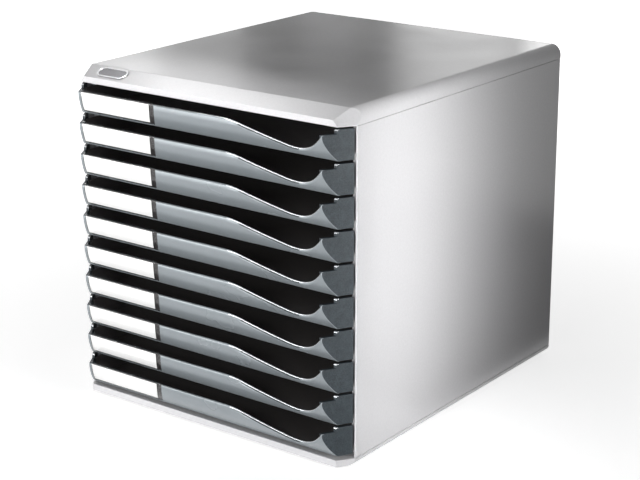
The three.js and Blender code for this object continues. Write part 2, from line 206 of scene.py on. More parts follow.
def applyModifier(piece, kind, **settings):
    selectOnly(piece)
    modifier = piece.modifiers.new(kind.lower(), kind)
    for key, value in settings.items():
        setattr(modifier, key, value)
    bpy.ops.object.modifier_apply(modifier=modifier.name)


# Small rounded edges, with the flat faces kept flat in their shading
def soften(piece, width, segments=2, angle=30, smoothAngle=40):
    if width:
        applyModifier(piece, "BEVEL", width=width * mm, segments=segments, limit_method="ANGLE",
                      angle_limit=math.radians(angle), use_clamp_overlap=True)
    selectOnly(piece)
    bpy.ops.object.shade_smooth_by_angle(angle=math.radians(smoothAngle))
    applyModifier(piece, "WEIGHTED_NORMAL", weight=60, keep_sharp=True)


def carve(piece, cutter):
    applyModifier(piece, "BOOLEAN", operation="DIFFERENCE", object=cutter, solver="EXACT")
    bpy.data.objects.remove(cutter)


def joinPieces(piece, *others):
    selectOnly(piece, *others)
    bpy.ops.object.join()


def copyRaised(piece, name, height):
    selectOnly(piece)
    bpy.ops.object.duplicate(linked=False)
    twin = bpy.context.object
    twin.name = name
    twin.location.z = height
    freeze(twin)
    return twin


def finishPiece(piece, body, nodes, material=None):
    if material:
        piece.data.materials.clear()
        piece.data.materials.append(material)
    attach(piece, body)
    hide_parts(*nodes)


# Points of a bend that starts on one point, ends on another and is drawn towards a corner
def bend(start, corner, end, steps):
    points = []
    for i in range(steps + 1):
        t = i / steps
        points.append(tuple((1 - t) ** 2 * a + 2 * t * (1 - t) * b + t * t * c
                            for a, b, c in zip(start, corner, end)))
    return points


def between(a, b, t):
    return a + (b - a) * t


# Points of a straight line in even steps, without its first
def straight(start, end, steps):
    return [tuple(between(a, b, i / steps) for a, b in zip(start, end)) for i in range(1, steps + 1)]


def easedStep(value, low, high):
    t = min(1.0, max(0.0, (value - low) / (high - low)))
    return t * t * (3 - 2 * t)


# Finishes

# An underscore stands for a space in an input's name
def setInputs(node, **values):
    for key, value in values.items():
        node.inputs[key.replace("_", " ")].default_value = value


def addNode(tree, kind, **values):
    node = tree.nodes.new(kind)
    setInputs(node, **values)
    return node


def addMath(tree, operation, first, second, clamp=False):
    node = tree.nodes.new("ShaderNodeMath")
    node.operation = operation
    node.use_clamp = clamp
    tree.links.new(first, node.inputs[0])
    tree.links.new(second, node.inputs[1])
    return node.outputs[0]


def mixShaders(tree, share, first, second):
    mix = tree.nodes.new("ShaderNodeMixShader")
    for output, socket in zip((share, first, second), mix.inputs):
        tree.links.new(output, socket)
    return mix.outputs["Shader"]


def startGroup(name, inputs, outputs):
    group = bpy.data.node_groups.new(name, "ShaderNodeTree")
    for key in inputs:
        group.interface.new_socket(key, in_out="INPUT", socket_type="NodeSocketFloat")
    for key in outputs:
        group.interface.new_socket(key, in_out="OUTPUT", socket_type="NodeSocketFloat")
    return group, group.nodes.new("NodeGroupInput").outputs, group.nodes.new("NodeGroupOutput").inputs


# Moulded grain: a height for bump and a tone for colour
def makeGrainGroup():
    group, given, result = startGroup("mouldedGrain", ["Size"], ["Height", "Tone"])
    links = group.links
    coordinates = group.nodes.new("ShaderNodeTexCoord").outputs["Object"]
    fine = addNode(group, "ShaderNodeTexNoise", Detail=2.0, Roughness=0.6)
    broad = addNode(group, "ShaderNodeTexNoise", Detail=3.0)
    broadSize = group.nodes.new("ShaderNodeMath")
    broadSize.operation = "MULTIPLY"
    broadSize.inputs[1].default_value = 0.22
    tone = addNode(group, "ShaderNodeMix", Factor=0.35)
    links.new(coordinates, fine.inputs["Vector"])
    links.new(coordinates, broad.inputs["Vector"])
    links.new(given["Size"], fine.inputs["Scale"])
    links.new(given["Size"], broadSize.inputs[0])
    links.new(broadSize.outputs[0], broad.inputs["Scale"])
    links.new(fine.outputs["Fac"], result["Height"])
    links.new(fine.outputs["Fac"], tone.inputs["A"])
    links.new(broad.outputs["Fac"], tone.inputs["B"])
    links.new(tone.outputs["Result"], result["Tone"])
    return group


# Handling: slow, faint change of gloss where hands and cloths have been
def makeHandlingGroup():
    group, given, result = startGroup("handlingMarks", ["Low", "High"], ["Roughness"])
    links = group.links
    coordinates = group.nodes.new("ShaderNodeTexCoord").outputs["Object"]
    slow = addNode(group, "ShaderNodeTexNoise", Scale=14.0, Detail=4.0)
    reach = addNode(group, "ShaderNodeMapRange", From_Min=0.35, From_Max=0.65)
    links.new(coordinates, slow.inputs["Vector"])
    links.new(slow.outputs["Fac"], reach.inputs["Value"])
    links.new(given["Low"], reach.inputs["To Min"])
    links.new(given["High"], reach.inputs["To Max"])
    links.new(reach.outputs["Result"], result["Roughness"])
    return group


grainGroup = makeGrainGroup()
handlingGroup = makeHandlingGroup()


def placeGroup(tree, group, **values):
    node = tree.nodes.new("ShaderNodeGroup")
    node.node_tree = group
    setInputs(node, **values)
    return node


def startMaterial(name):
    material = bpy.data.materials.new(name)
    material.use_nodes = True
    return material, material.node_tree, material.node_tree.nodes["Principled BSDF"]


# Moulded plastic or rubber: two near tones mixed by the grain, gloss that wanders a little, fine bump
def makeMoulded(name, darker, lighter, rough, grainSize, grainHeight, toneRange=(0.35, 0.65), **shader):
    material, tree, surface = startMaterial(name)
    setInputs(surface, **shader)
    grain = placeGroup(tree, grainGroup, Size=grainSize)
    marks = placeGroup(tree, handlingGroup, Low=rough[0], High=rough[1])
    ramp = tree.nodes.new("ShaderNodeValToRGB")
    for stop, position, colour in zip(ramp.color_ramp.elements, toneRange, (darker, lighter)):
        stop.position = position
        stop.color = (*colour, 1)
    bump = addNode(tree, "ShaderNodeBump", Strength=1.0, Distance=grainHeight * mm)
    tree.links.new(grain.outputs["Tone"], ramp.inputs["Fac"])
    tree.links.new(ramp.outputs["Color"], surface.inputs["Base Color"])
    tree.links.new(marks.outputs["Roughness"], surface.inputs["Roughness"])
    tree.links.new(grain.outputs["Height"], bump.inputs["Height"])
    tree.links.new(bump.outputs["Normal"], surface.inputs["Normal"])
    return material


# A thin clear sheet: its gloss grows towards a grazing view, and light passes straight through to the card
def makeClear(name):
    material, tree, gloss = startMaterial(name)
    setInputs(gloss, Base_Color=(0.97, 0.98, 0.985, 1), Metallic=1.0)
    marks = placeGroup(tree, handlingGroup, Low=0.03, High=0.08)
    tree.links.new(marks.outputs["Roughness"], gloss.inputs["Roughness"])
    path = tree.nodes.new("ShaderNodeLightPath").outputs
    mirrored = addNode(tree, "ShaderNodeFresnel", IOR=1.2)
    shape = tree.nodes.new("ShaderNodeNewGeometry")
    seeThrough = tree.nodes.new("ShaderNodeBsdfTransparent")
    lighting = addMath(tree, "MAXIMUM", path["Is Shadow Ray"], path["Is Diffuse Ray"])
    hidden = addMath(tree, "MAXIMUM", lighting, shape.outputs["Backfacing"])
    shown = addMath(tree, "SUBTRACT", mirrored.outputs["Fac"], hidden, clamp=True)
    sheet = mixShaders(tree, shown, seeThrough.outputs["BSDF"], gloss.outputs["BSDF"])
    tree.links.new(sheet, tree.nodes["Material Output"].inputs["Surface"])
    return material


# Each has its two tones, its least and most roughness, and its grain's scale and height in millimetres
housingGrey = makeMoulded("housingGrey", (0.68, 0.675, 0.69), (0.74, 0.735, 0.75), (0.20, 0.27), 2200, 0.004,
                          Specular_IOR_Level=0.3)
barSlate = makeMoulded("barSlate", (0.260, 0.289, 0.307), (0.276, 0.306, 0.326), (0.265, 0.275), 2600, 0.002,
                       Metallic=0.22)
# Painted highlight: a light metallic slate that stands for the glint on the scoop's rim and on the cheeks' step
# corners
rimPaintedHighlight = makeMoulded("rimPaintedHighlight", (0.60, 0.62, 0.64), (0.66, 0.68, 0.70), (0.22, 0.26), 2600, 0.002,
                        Metallic=0.8)
cheekSlate = makeMoulded("cheekSlate", (0.014, 0.021, 0.026), (0.036, 0.048, 0.057), (0.42, 0.52), 1100, 0.05,
                         toneRange=(0.38, 0.62), Specular_IOR_Level=0.35)
# Painted shade: a dark tray colour that stands for the shade inside the drawers, seen through the gaps between
# them
trayPaintedShade = makeMoulded("trayPaintedShade", (0.105, 0.097, 0.096), (0.125, 0.116, 0.115), (0.42, 0.55), 1500, 0.01)
# Painted shade: a near-black for the back of the recess that the label sits in
recessPaintedShade = makeMoulded("recessPaintedShade", (0.016, 0.014, 0.014), (0.026, 0.023, 0.023), (0.5, 0.6), 1500, 0.01)
cardWhite = makeMoulded("cardWhite", (0.955, 0.955, 0.945), (0.985, 0.985, 0.975), (0.62, 0.74), 3200, 0.006)
coverClear = makeClear("coverClear")
badgeDark = makeMoulded("badgeDark", (0.10, 0.10, 0.105), (0.13, 0.13, 0.135), (0.14, 0.22), 1800, 0.002,
                        Metallic=1.0)
badgeRim = makeMoulded("badgeRim", (0.62, 0.62, 0.63), (0.70, 0.70, 0.71), (0.10, 0.16), 1800, 0.001,
                       Metallic=1.0)
footBlack = makeMoulded("footBlack", (0.012, 0.012, 0.012), (0.022, 0.022, 0.022), (0.7, 0.85), 1300, 0.03)
print("finishes made")


# Housing

coverSizes = {
    "height": 12.5, "lip": 5.2, "crease": 2.7, "sideRadius": 9.5, "wall": 2.5, "edge": 0.7,
    "lipRound": 3.0, "lean": 35.0, "leanFoot": 0.8,
    "ribInner": 126.0, "ribWidth": 8.0, "ribInset": 12.0, "ribEdge": 0.3,
}
badgeSizes = {
    "length": 32.0, "width": 12.5, "thickness": 1.2, "seat": 0.5, "gap": 0.3, "fromLeft": 39.0,
    "alongBevel": 0.53, "rim": 1.15, "dish": 0.4, "dishSlope": 0.35, "edge": 0.14, "cutterHigh": 3.0,
}
coverBottom = housing["panelHeight"] + housing["seam"]
coverTop = coverBottom + coverSizes["height"]
bevelRun = housing["noseReach"] + coverSizes["crease"]
bevelRise = coverSizes["height"] - coverSizes["lip"]


# Cuts off both front corners, straight down or leaned back from a height
def trimNoseCorners(piece, height=0, rise=0):
    for hand in (-1, 1):
        point = place(hand * housing["halfWidth"], 0, height)
        cutThrough(piece, point, (hand * housing["noseReach"], -housing["noseCorner"], rise), trim=True)


# An oval slab with straight long sides that lies on the cover's bevel, from one height over it to another
def addBadgeOval(name, margin, low, high):
    deselectAll()
    along = between(-housing["noseReach"], coverSizes["crease"], badgeSizes["alongBevel"])
    height = coverBottom + coverSizes["lip"] + bevelRise / bevelRun * (along + housing["noseReach"])
    tilt = math.atan(bevelRise / bevelRun)
    centre = place(badgeSizes["fromLeft"] - housing["halfWidth"], along, height)
    up = Vector((0, -math.sin(tilt), math.cos(tilt)))
    bpy.ops.mesh.primitive_cylinder_add(vertices=96, radius=(badgeSizes["width"] / 2 + margin) * mm,
                                        depth=(high - low) * mm, location=centre + up * (low + high) / 2 * mm,
                                        rotation=(tilt, 0, 0))
    piece = justAdded(name)
    freeze(piece)
    half = (badgeSizes["length"] - badgeSizes["width"]) / 2 * mm
    for hand in (-1, 1):
        pick(piece, "VERT", lambda vertex: (vertex.co.x - centre.x) * hand > mm / 100)
        bpy.ops.transform.translate(value=(hand * half, 0, 0))
    objectMode()
    return piece, up


def makeTopCover():
    w, reach = housing["halfWidth"], housing["noseReach"]
    cover = addBlock("topCover", (-w, -reach, coverBottom), (w, housing["depth"], coverTop))
    top = place(0, 0, coverTop).z
    pickEdges(cover, lambda a, b: a.z > top - mm and b.z > top - mm and abs(a.x - b.x) < mm)
    bevelPicked(coverSizes["sideRadius"], segments=14)
    cutThrough(cover, place(0, coverSizes["crease"], coverTop), (0, -bevelRise, bevelRun), trim=True)
    trimNoseCorners(cover)
    # Each cut corner also leans back from just over the lower edge and turns into the rounded side
    rise = math.hypot(reach, housing["noseCorner"]) * math.tan(math.radians(coverSizes["lean"]))
    trimNoseCorners(cover, coverBottom + coverSizes["leanFoot"], rise)
    lipTop = place(0, 0, coverBottom + coverSizes["lip"]).z
    pickEdges(cover, lambda a, b: max(abs(a.z - lipTop), abs(b.z - lipTop)) < mm / 20)
    bevelPicked(coverSizes["lipRound"], segments=5)
    bottom = place(0, 0, coverBottom).z
    pickFaces(cover, lambda centre, normal: normal.z < -facing and centre.z < bottom + mm)
    bpy.ops.mesh.delete(type="FACE")
    applyModifier(cover, "SOLIDIFY", thickness=coverSizes["wall"] * mm, offset=-1, use_even_offset=True)
    seat, _ = addBadgeOval("seatCutter", badgeSizes["gap"], -badgeSizes["seat"], badgeSizes["cutterHigh"])
    carve(cover, seat)
    soften(cover, coverSizes["edge"], segments=3, angle=24)
    ribTop = coverTop - coverSizes["wall"] / 2
    for hand in (-1, 1):
        xs = sorted([hand * coverSizes["ribInner"], hand * (coverSizes["ribInner"] + coverSizes["ribWidth"])])
        rib = addBlock("coverRib", (xs[0], coverSizes["ribInset"], coverBottom),
                       (xs[1], housing["depth"] - coverSizes["ribInset"], ribTop))
        soften(rib, coverSizes["ribEdge"])
        joinPieces(cover, rib)
    finishPiece(cover, "housing", ["top_cover"], housingGrey)


def makeBadge():
    sizes = badgeSizes
    low = sizes["gap"] - sizes["seat"]
    badge, up = addBadgeOval("badgePlate", 0, low, low + sizes["thickness"])
    pickFaces(badge, lambda centre, normal: normal.dot(up) > facing)
    bpy.ops.mesh.inset(thickness=sizes["rim"] * mm, depth=0)
    bpy.ops.mesh.inset(thickness=sizes["dishSlope"] * mm, depth=-sizes["dish"] * mm)
    objectMode()
    badge.data.materials.clear()
    badge.data.materials.append(badgeRim)
    badge.data.materials.append(badgeDark)
    for face in badge.data.polygons:
        face.material_index = int(face.select)   # the dished middle is still selected
    soften(badge, sizes["edge"], segments=2, angle=20, smoothAngle=35)
    finishPiece(badge, "housing", ["badge_plate"])


baseSizes = {"height": 6.0, "sideRadius": 5.2, "edge": 0.6, "pocketInset": 27.0, "pocketRoof": 2.5, "rib": 6.0}


def makeBasePlate():
    w, reach, depth = housing["halfWidth"], housing["noseReach"], housing["depth"]
    high = -housing["seam"]
    low = high - baseSizes["height"]
    base = addBlock("basePlate", (-w, -reach, low), (w, depth, high))
    under = place(0, 0, low).z
    pickEdges(base, lambda a, b: a.z < under + mm and b.z < under + mm and abs(a.x - b.x) < mm)
    bevelPicked(baseSizes["sideRadius"], segments=10)
    trimNoseCorners(base)
    inset, halfRib = baseSizes["pocketInset"], baseSizes["rib"] / 2
    front, rear = inset - reach, depth - inset
    middle = (front + rear) / 2
    for x in (inset - w, -halfRib, halfRib, w - inset):
        cutThrough(base, place(x, 0, 0), (1, 0, 0))
    for y in (front, middle - halfRib, middle + halfRib, rear):
        cutThrough(base, place(0, y, 0), (0, 1, 0))
    edgeX, ribX = (w - inset) * mm, halfRib * mm
    frontAt, rearAt, middleAt = place(0, front, 0).y, place(0, rear, 0).y, place(0, middle, 0).y
    pickFaces(base, lambda centre, normal: normal.z < -facing and ribX < abs(centre.x) < edgeX
              and frontAt < centre.y < rearAt and abs(centre.y - middleAt) > ribX)
    extrudeBy(0, 0, baseSizes["height"] - baseSizes["pocketRoof"])
    dissolveFlat(base)
    soften(base, baseSizes["edge"], segments=3, angle=24)
    finishPiece(base, "housing", ["base_plate"], housingGrey)


panelSizes = {
    "frontFlange": 6.8, "frontFlangeAt": 8.0, "frontFlangeDepth": 3.0, "rearFlange": 4.0, "rearFlangeDepth": 2.0,
    "ledgeLow": -0.8, "ledgeHigh": 1.2, "ledgeTip": 126.0, "ledgeRear": 304.2, "corner": 1.0, "edge": 0.3,
    "lead": (1.5, 3.4),
}


def makeSidePanel(side, hand):
    sizes = panelSizes
    outer, inner = housing["halfWidth"], housing["halfWidth"] - housing["wall"]
    xs = sorted([hand * inner, hand * outer])
    panel = addBlock(f"sidePanel_{side}", (xs[0], 0, 0), (xs[1], housing["depth"], housing["panelHeight"]))
    outerAt = hand * outer * mm
    pickEdges(panel, lambda a, b: abs(a.z - b.z) > mm and abs(a.x - outerAt) < mm / 2)
    bevelPicked(sizes["corner"], segments=4)
    leadIn, leadBack = sizes["lead"]
    cutThrough(panel, place(hand * (inner + leadIn), 0, 0), (-hand * leadBack, -leadIn, 0), trim=True)
    cuts = (sizes["frontFlangeAt"], sizes["frontFlangeAt"] + sizes["frontFlangeDepth"], sizes["ledgeRear"],
            housing["depth"] - sizes["rearFlangeDepth"])
    for y in cuts:
        cutThrough(panel, place(0, y, 0), (0, 1, 0))
    windows = []
    for height in drawerHeights:
        zero = (height - seamZ) / mm
        window = (zero + sizes["ledgeLow"], zero + sizes["ledgeHigh"])
        for z in window:
            cutThrough(panel, place(0, 0, z), (0, 0, 1))
        windows.append([place(0, 0, z).z for z in window])
    flange, front, ledgeRear, rear = (place(0, y, 0).y for y in cuts)

    def inwards(normal):
        return normal.x * hand < -0.95   # but not the chamfer that leads the drawers in

    pickFaces(panel, lambda centre, normal: inwards(normal) and flange < centre.y < front)
    extrudeBy(-hand * sizes["frontFlange"], 0, 0)
    pickFaces(panel, lambda centre, normal: inwards(normal) and centre.y > rear)
    extrudeBy(-hand * sizes["rearFlange"], 0, 0)
    pickFaces(panel, lambda centre, normal: inwards(normal) and front < centre.y < ledgeRear
              and any(low < centre.z < high for low, high in windows))
    extrudeBy(-hand * (inner - sizes["ledgeTip"]), 0, 0)
    dissolveFlat(panel)
    soften(panel, sizes["edge"], segments=2, angle=40)
    finishPiece(panel, "housing", [f"side_panel_{side}"], housingGrey)


backSizes = {"thickness": 2.5, "rearGap": 2.3, "sideGap": 0.3, "edge": 0.5}


def makeBackPanel():
    side = housing["halfWidth"] - housing["wall"] - backSizes["sideGap"]
    rear = housing["depth"] - backSizes["rearGap"]
    back = addBlock("backPanel", (-side, rear - backSizes["thickness"], 0), (side, rear, housing["panelHeight"]))
    soften(back, backSizes["edge"], segments=3)
    finishPiece(back, "housing", ["back_panel"], housingGrey)


footSizes = {"radius": 8.0, "edge": 0.25, "dish": 3.0, "dishDepth": 0.3, "dishSlope": 0.4}


def makeFeet():
    for node in ("foot_front_left", "foot_front_right", "foot_rear_left", "foot_rear_right"):
        low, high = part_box(node)
        deselectAll()
        bpy.ops.mesh.primitive_cylinder_add(vertices=48, radius=footSizes["radius"] * mm,
                                            depth=high.z - low.z, location=(low + high) / 2)
        foot = justAdded(node.replace("_", "") + "Pad")
        freeze(foot)
        pickFaces(foot, lambda centre, normal: normal.z < -facing)
        bpy.ops.mesh.inset(thickness=footSizes["dish"] * mm, depth=0)
        bpy.ops.mesh.inset(thickness=footSizes["dishSlope"] * mm, depth=-footSizes["dishDepth"] * mm)
        soften(foot, footSizes["edge"], segments=2, angle=35)
        finishPiece(foot, "housing", [node], footBlack)


makeTopCover()
makeBadge()
makeBasePlate()
makeSidePanel("left", -1)
makeSidePanel("right", 1)
makeBackPanel()
makeFeet()
print("housing made")


# Drawers: drawn once at the top drawer's height and copied down

barSizes = {
    "height": 21.2, "tipReach": 24.0, "footReach": 12.0, "bulge": 2.1, "wall": 2.4,
    "footEdge": 0.6, "topEdge": 0.5, "endEdge": 0.35, "roundDepth": 1.8, "roundDrop": 4.5,
    "endFacing": 0.84, "endReach": 1.0,
}
scoopSizes = {
    "start": 37.0, "startRadius": 70.0, "low": 102.5, "floor": 4.2, "turn": 88.0, "pull": 111.0,
    "runIn": 14.0, "runOut": 6.0, "levelStations": (-60, -20, 0, 10, 16, 20, 24),
}
# Lead, stop and grooveStop set where the rim's painted highlight and the groove's painted shade begin and end
rimSizes = {
    "rise": 1.9, "edge": 0.5, "turn": 0.3, "setback": 0.9, "grooveDepth": 0.25, "grooveRise": 0.1,
    "lipStart": 0.3, "lipDrop": 0.02, "lipTurn": 0.05, "lead": 5.0, "stop": 1.5, "grooveStop": 4.0,
}
cheekSizes = {
    "height": 24.8, "rear": 140.5, "tip": 125.7, "closed": 0.4, "wall": 2.4, "stepReach": 12.6,
    "stepRadius": 1.3, "stepFillet": 0.4, "edge": 0.4, "lap": 1.2, "flush": 0.02,
}
slant = (cheekSizes["rear"] - cheekSizes["tip"]) / (barSizes["tipReach"] - cheekSizes["closed"])
cheekThick = cheekSizes["wall"] * math.hypot(1, slant)


def inDrawer(x, y, z):
    return Vector((x * mm, frontY + y * mm, drawerHeights[0] + z * mm))


# Depth of the bar's front at a height
def barFace(z):
    share = z / barSizes["height"]
    lean = between(barSizes["footReach"], barSizes["tipReach"], share)
    return -lean - barSizes["bulge"] * 4 * share * (1 - share)


# Points down or up the bar's face, or at a distance behind it
def faceLine(top, foot, setback, steps=14):
    heights = [between(top, foot, i / steps) for i in range(steps + 1)]
    return [(barFace(z) + setback, z) for z in heights]


# Outer side of the right-hand slanted end at a depth
def slantedEnd(y):
    return cheekSizes["tip"] + slant * (y + barSizes["tipReach"])


# Rounds the edges of the slanted end at one side
def roundSlantedEnd(piece, hand, width):
    outwards = Vector((hand, -slant, 0)).normalized()
    pickFaces(piece, lambda centre, normal: normal.dot(outwards) > 0.999)
    bevelPicked(width, segments=3)


# Points of the arc that rounds a corner between its neighbours
def roundedCorner(before, corner, after, radius, steps):
    before, corner, after = Vector(before), Vector(corner), Vector(after)
    back, ahead = (before - corner).normalized(), (after - corner).normalized()
    opening = math.acos(max(-1, min(1, back.dot(ahead))))
    trim = radius / math.tan(opening / 2)
    centre = corner + (back + ahead).normalized() * radius / math.sin(opening / 2)
    start, end = corner + back * trim - centre, corner + ahead * trim - centre
    sweep = math.atan2(start.x * end.y - start.y * end.x, start.dot(end))
    points = []
    for i in range(steps + 1):
        turn = sweep * i / steps
        points.append((centre.x + start.x * math.cos(turn) - start.y * math.sin(turn),
                       centre.y + start.x * math.sin(turn) + start.y * math.cos(turn)))
    return points


# The bar's upper edge from end to end: level, down the scoop's straight slope and up in one curve to the spur
def barTopEdge():
    height = barSizes["height"]
    left, right = (-cheekSizes["rear"], height), (cheekSizes["rear"], height)
    start, low = (scoopSizes["start"], height), (scoopSizes["low"], scoopSizes["floor"])
    tip = (cheekSizes["tip"], height)
    edge = [left] + [(x, height) for x in scoopSizes["levelStations"]]
    edge += roundedCorner(left, start, low, scoopSizes["startRadius"], steps=16)
    fall = (low[1] - height) / (low[0] - start[0])
    turn, pull = ((x, height + fall * (x - start[0])) for x in (scoopSizes["turn"], scoopSizes["pull"]))
    edge += straight(edge[-1], turn, steps=8)[:-1] + bend(turn, pull, tip, steps=30)
    return edge + straight(tip, right, steps=4)


# One outline of the bar at a place along it, from its lower front edge round its back; ten points are its lip,
# which is plain on the left and turns into the rim and groove of the scoop
def barRing(x, top):
    sizes, scoop, rim = barSizes, scoopSizes, rimSizes
    halfRun = scoop["runIn"] / 2
    rimShare = easedStep(x, scoop["start"] - halfRun, scoop["start"] + halfRun)
    rimShare *= easedStep(cheekSizes["tip"] - x, 0, scoop["runOut"])
    face, edge, wall = barFace(top), sizes["topEdge"], sizes["wall"]
    plainFoot = top - sizes["roundDrop"]
    plain = bend((face + sizes["roundDepth"], top), (face, top), (barFace(plainFoot), plainFoot), steps=9)
    rimFoot, rimFace = top - rim["rise"], face + rim["setback"]
    lipFace = barFace(rimFoot)
    rimmed = bend((rimFace + rim["edge"], top), (rimFace, top), (rimFace, top - rim["edge"]), steps=4)
    rimmed += bend((rimFace, rimFoot + rim["turn"]), (rimFace, rimFoot - rim["grooveDepth"]),
                   (lipFace + edge, rimFoot - rim["grooveRise"]), steps=2)
    rimmed += bend((lipFace + rim["lipStart"], rimFoot - rim["lipDrop"]), (lipFace, rimFoot - rim["lipTurn"]),
                   (barFace(rimFoot - edge), rimFoot - edge), steps=1)
    lip = [(between(a[0], b[0], rimShare), between(a[1], b[1], rimShare)) for a, b in zip(plain, rimmed)]
    low, foot = sizes["footEdge"], -sizes["footReach"]
    ring = bend((barFace(low), low), (foot, 0), (foot + low, 0), steps=4)
    ring += faceLine(0, top, wall, steps=5)[:-1]
    ring += bend((face + wall, top - edge), (face + wall, top), (face + wall - edge, top), steps=3)
    ring += lip + faceLine(lip[-1][1], low, 0, steps=16)[1:-1]
    return [inDrawer(x, y, z) for y, z in ring]


# Along the scoop the rim band takes the painted highlight, and the groove band under it the dark slate with
# grain as painted shade
rimHighlightBand, grooveShadeBand = range(15, 18), range(18, 22)   # segments of that outline
barFinishes = (barSlate, cheekSlate, recessPaintedShade, rimPaintedHighlight)
grainAndPaintedShade, paintedSeatShade, paintedHighlight = 1, 2, 3   # places in barFinishes


labelSizes = {
    "cardLength": 75.5, "cardFoot": 3.0, "cardTopGap": 0.4, "cardThick": 0.3, "gap": 0.3, "seat": 1.2,
    "cover": 0.8, "coverEnd": 5.0, "coverFoot": 2.2, "hookDrop": 4.0, "hookSpread": 2.0, "endAngle": 38.0,
    "hookRound": 1.0, "hookLean": 0.35, "roofRound": 0.8, "shoulder": 0.4, "windowTop": 0.8, "windowFoot": 0.7,
    "toeRound": 0.5, "slack": 0.1, "overcut": 1.0, "uncutLength": 140.0,
}
labelInset = cheekThick + labelSizes["gap"]


# Cuts both ends of a strip that lies along the label: its left end follows the cheek, its right end is cut askew
def trimToLabel(piece, inset, length):
    left = -cheekSizes["tip"] + inset
    tip = -barSizes["tipReach"]
    cutThrough(piece, inDrawer(left, tip, 0), (-1, -slant, 0), trim=True)
    endSlant = math.tan(math.radians(labelSizes["endAngle"]))
    cutThrough(piece, inDrawer(left + length, tip, 0), (1, endSlant, 0), trim=True)
    objectMode()


# A strip that lies along the left half of the bar, before its ends are cut
def addStrip(name, outline):
    length = labelSizes["uncutLength"]
    return addProfile(name, [inDrawer(-length, y, z) for y, z in outline], length)


def makeBar():
    outline, scoop, rim = barTopEdge(), scoopSizes, rimSizes
    rimStart, rimEnd = scoop["start"] - rim["lead"], cheekSizes["tip"] - rim["stop"]
    grooveStart, grooveEnd = scoop["start"] + scoop["runIn"] / 2, scoop["low"] - rim["grooveStop"]
    # The bar's slanted ends get the slate with grain; the groove under the rim gets the same dark slate as
    # painted shade
    onRimHighlight = [j for j, (x, _) in enumerate(outline) if rimStart < x < rimEnd]
    onGrooveShade = [j for j in onRimHighlight if grooveStart < outline[j][0] < grooveEnd]
    bar = addLoft("drawerBar", [barRing(x, top) for x, top in outline],
                  [(rimHighlightBand, onRimHighlight, paintedHighlight), (grooveShadeBand, onGrooveShade, grainAndPaintedShade)])
    for hand in (-1, 1):
        point = inDrawer(hand * cheekSizes["tip"], -barSizes["tipReach"], 0)
        cutThrough(bar, point, (hand, -slant, 0), trim=True)
        roundSlantedEnd(bar, hand, barSizes["endEdge"])
    objectMode()
    sizes = labelSizes
    top, foot = barSizes["height"] + sizes["overcut"], sizes["coverFoot"] - sizes["gap"]
    seat = addStrip("labelSeat", faceLine(top, foot, sizes["seat"]) + faceLine(foot, top, -sizes["overcut"]))
    trimToLabel(seat, labelInset - sizes["gap"], sizes["cardLength"] + sizes["coverEnd"] + 2 * sizes["gap"])
    carve(bar, seat)
    finishBar(bar)
    soften(bar, 0, smoothAngle=32)
    return bar


# Smooth face, ends with grain, and a near-black painted shade on the back of the recess behind the label; the
# rim's painted highlight and the groove's painted shade have their places already
def finishBar(bar):
    for material in barFinishes:
        bar.data.materials.append(material)
    seat, slack = labelSizes["seat"], labelSizes["slack"]
    for face in bar.data.polygons:
        x, y, z = (face.center.x / mm, (face.center.y - frontY) / mm, (face.center.z - drawerHeights[0]) / mm)
        if abs(face.normal.x) > barSizes["endFacing"] and abs(x) > cheekSizes["tip"] - barSizes["endReach"]:
            face.material_index = grainAndPaintedShade
        # The back of the label's seat takes the painted shade
        elif x < 0 and abs(y - barFace(z) - seat) < slack and face.normal.y < -leaning:
            face.material_index = paintedSeatShade


# The cheek behind each end of the bar, with grain all over and a painted highlight on its step's rounded corner
def makeCheek(hand):
    sizes, barTop = cheekSizes, barSizes["height"]
    step, fillet = sizes["stepRadius"], sizes["stepFillet"]
    rear, high, reach = -sizes["closed"], sizes["height"], -sizes["stepReach"]
    outline = [(rear, 0), (rear, high)]
    outline += roundedCorner((rear, high), (reach, high), (reach, barTop), step, steps=8)
    outline += bend((reach, barTop + fillet), (reach, barTop), (reach - fillet, barTop), steps=3)
    outline += faceLine(barTop, 0, sizes["lap"], steps=16)
    inner = [inDrawer(hand * (slantedEnd(y) - cheekThick), y, z) for y, z in outline]
    cheek = addProfile("drawerCheek", inner, hand * (cheekThick - sizes["flush"]))
    roundSlantedEnd(cheek, hand, sizes["edge"])
    objectMode()
    soften(cheek, 0, smoothAngle=35)
    cheek.data.materials.append(cheekSlate)
    cheek.data.materials.append(rimPaintedHighlight)
    # The faces of the step's rounded corner take the painted highlight
    cornerLow, cornerEnd = inDrawer(0, 0, high - step).z, inDrawer(0, reach + step, 0).y
    for face in cheek.data.polygons:
        onCornerHighlight = face.center.z > cornerLow and face.center.y < cornerEnd
        if onCornerHighlight and face.normal.y < -leaning and face.normal.z > leaning:
            face.material_index = 1
    return cheek


traySizes = {
    "halfWidth": 132.0, "lift": 1.5, "floor": 2.0, "wall": 2.0, "wallHeight": 21.0, "rear": 303.2,
    "front": -10.9, "holdDown": 14.0, "holdDownHeight": 25.4, "stopFront": 251.3, "stopLength": 4.0,
    "stopReach": 4.5, "stopLift": 4.0, "stopHeight": 6.0, "edge": 0.35,
}


